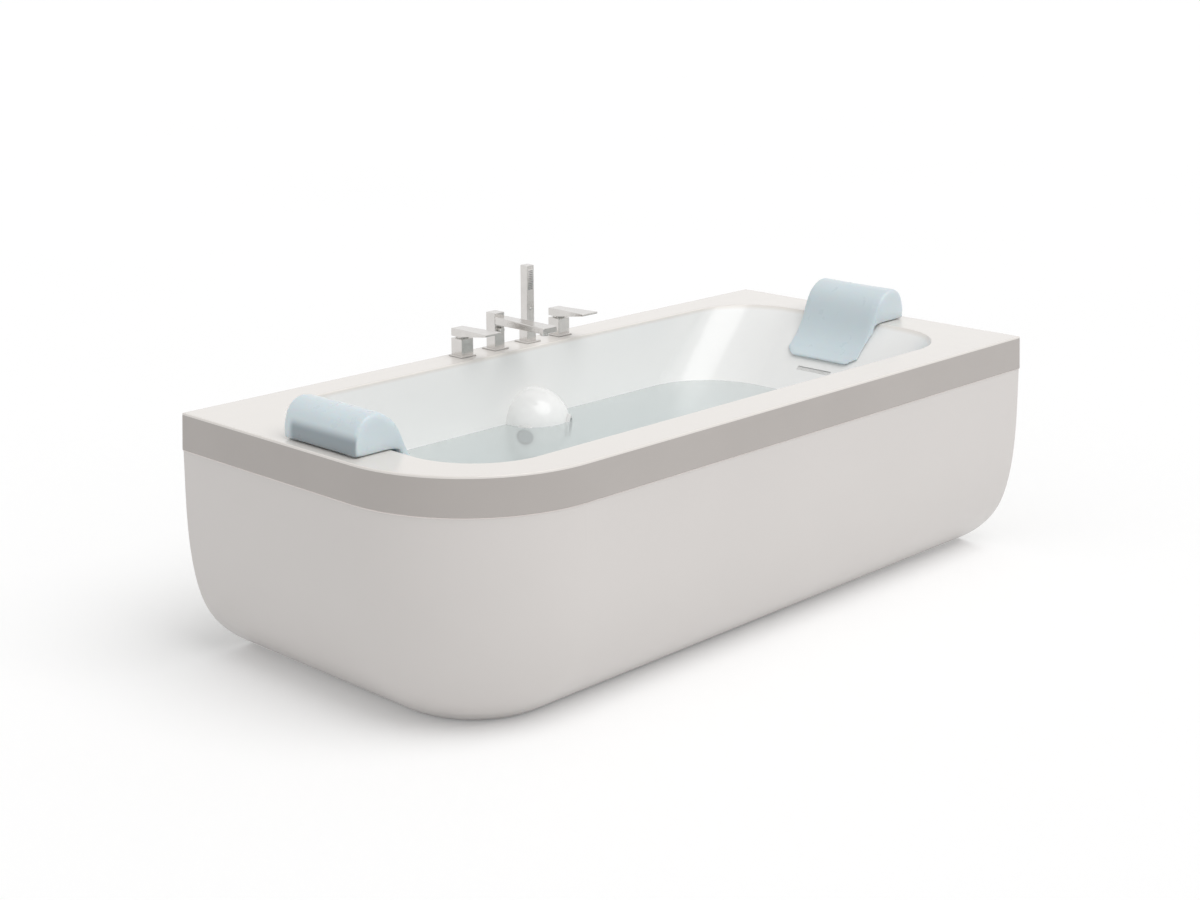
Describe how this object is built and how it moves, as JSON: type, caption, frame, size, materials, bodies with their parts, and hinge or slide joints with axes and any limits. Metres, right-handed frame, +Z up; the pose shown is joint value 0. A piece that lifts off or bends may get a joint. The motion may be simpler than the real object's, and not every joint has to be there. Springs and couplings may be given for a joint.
{
  "type": "jetted bathtub",
  "caption": "Rectangular corner bathtub with a rounded front corner, taupe rim band, curved skirt panel, gel headrests, deck mixer, hand shower and dome jets over a pump.",
  "frame": {"origin": "on the floor, under the middle of the tub", "axes": "+Z up, +X along the tub towards its right end (wall side), +Y towards the back wall"},
  "size_m": [1.9, 0.9, 0.764],
  "materials": {
    "acrylic": "smooth glossy warm white sanitary acrylic",
    "band": "satin taupe",
    "panel": "satin gloss pale grey white",
    "gel": "translucent pale blue gel",
    "chrome": "satin polished",
    "frame_steel": "galvanised, dull",
    "foot": "matte",
    "steel_bright": "zinc plated",
    "brass": "cast and turned",
    "motor": "painted cast aluminium",
    "pump_black": "moulded, matte",
    "pipe_white": "extruded, matte",
    "jet_dark": "dark grey, satin",
    "grille": "moulded, glossy",
    "hose": "braided silver",
    "lead": "matte"
  },
  "bodies": {
    "tub": {"basin_shell": "acrylic", "rim_band": "band", "side_panel": "panel", "base_plates": "chrome", "left_valve_body": "chrome", "right_valve_body": "chrome", "spout_body": "chrome", "shower_holder": "chrome", "drain_flange": "chrome", "overflow_trim": "chrome", "long_rail_front": "frame_steel", "long_rail_back": "frame_steel", "post_front_left": "frame_steel", "post_front_right": "frame_steel", "post_back_left": "frame_steel", "post_back_right": "frame_steel", "cross_rail_left": "frame_steel", "cross_rail_right": "frame_steel", "pump_base": "frame_steel", "foot_nuts": "steel_bright", "left_valve_tail": "brass", "right_valve_tail": "brass", "mixing_pipe": "brass", "deck_nuts": "brass", "pump_motor": "motor", "pump_wet_end": "pump_black", "control_box": "pump_black", "hose_guide": "pump_black", "drain_body": "pump_black", "overflow_box": "pump_black", "suction_pipe": "pipe_white", "pressure_pipe": "pipe_white", "jet_manifold": "pipe_white", "air_line": "pipe_white", "waste_trap": "pipe_white", "overflow_pipe": "pipe_white", "suction_body": "pipe_white", "jet_body_left": "pipe_white", "jet_body_right": "pipe_white", "jet_ring_left": "grille", "jet_ring_right": "grille", "suction_grille": "grille", "hose_lower": "hose", "motor_lead": "lead"},
    "left_lever": {"left_lever": "chrome"},
    "right_lever": {"right_lever": "chrome"},
    "diverter_knob": {"diverter_knob": "chrome"},
    "hand_shower": {"shower_handset": "chrome", "hose_upper": "hose"},
    "drain_plug": {"drain_plug": "chrome"},
    "jet_nozzle_left": {"jet_nozzle_left": "jet_dark"},
    "jet_nozzle_right": {"jet_nozzle_right": "jet_dark"},
    "headrest_left": {"headrest_left": "gel"},
    "headrest_right": {"headrest_right": "gel"},
    "pump_rotor": {"pump_shaft": "steel_bright", "pump_impeller": "pump_black"},
    "foot_front_left": {"foot_front_left": "foot"},
    "foot_front_right": {"foot_front_right": "foot"},
    "foot_back_left": {"foot_back_left": "foot"},
    "foot_back_right": {"foot_back_right": "foot"}
  },
  "joints": [
    {"name": "left_lever_turn", "type": "hinge", "parent": "tub", "child": "left_lever", "pos_m": [-0.165, 0.413, 0.62], "axis": [0, 0, -1], "range_deg": [0, 90]},
    {"name": "right_lever_turn", "type": "hinge", "parent": "tub", "child": "right_lever", "pos_m": [0.165, 0.413, 0.62], "axis": [0, 0, 1], "range_deg": [0, 90]},
    {"name": "diverter_pull", "type": "slide", "parent": "tub", "child": "diverter_knob", "axis": [0, -1, 0], "range_m": [0, 0.008]},
    {"name": "handset_lift", "type": "slide", "parent": "tub", "child": "hand_shower", "axis": [0, 0, 1], "range_m": [0, 0.15]},
    {"name": "plug_lift", "type": "slide", "parent": "tub", "child": "drain_plug", "axis": [0, 0, 1], "range_m": [0, 0.01]},
    {"name": "jet_left_swivel", "type": "hinge", "parent": "tub", "child": "jet_nozzle_left", "pos_m": [-0.06008, 0.29966, 0.3744], "axis": [-0.507, 0.8619, 0], "range_deg": [-10, 10]},
    {"name": "jet_right_swivel", "type": "hinge", "parent": "tub", "child": "jet_nozzle_right", "pos_m": [0.03922, 0.27653, 0.38143], "axis": [-0.8305, -0.557, 0], "range_deg": [-10, 10]},
    {"name": "headrest_left_lift", "type": "slide", "parent": "tub", "child": "headrest_left", "axis": [0, 0, 1], "range_m": [0, 0.12]},
    {"name": "headrest_right_lift", "type": "slide", "parent": "tub", "child": "headrest_right", "axis": [0, 0, 1], "range_m": [0, 0.12]},
    {"name": "pump_spin", "type": "hinge", "parent": "tub", "child": "pump_rotor", "pos_m": [-0.755, 0, 0.15], "axis": [0, 1, 0], "continuous": true},
    {"name": "foot_front_left_set", "type": "slide", "parent": "tub", "child": "foot_front_left", "axis": [0, 0, -1], "range_m": [0, 0.02]},
    {"name": "foot_front_right_set", "type": "slide", "parent": "tub", "child": "foot_front_right", "axis": [0, 0, -1], "range_m": [0, 0.02]},
    {"name": "foot_back_left_set", "type": "slide", "parent": "tub", "child": "foot_back_left", "axis": [0, 0, -1], "range_m": [0, 0.02]},
    {"name": "foot_back_right_set", "type": "slide", "parent": "tub", "child": "foot_back_right", "axis": [0, 0, -1], "range_m": [0, 0.02]}
  ]
}
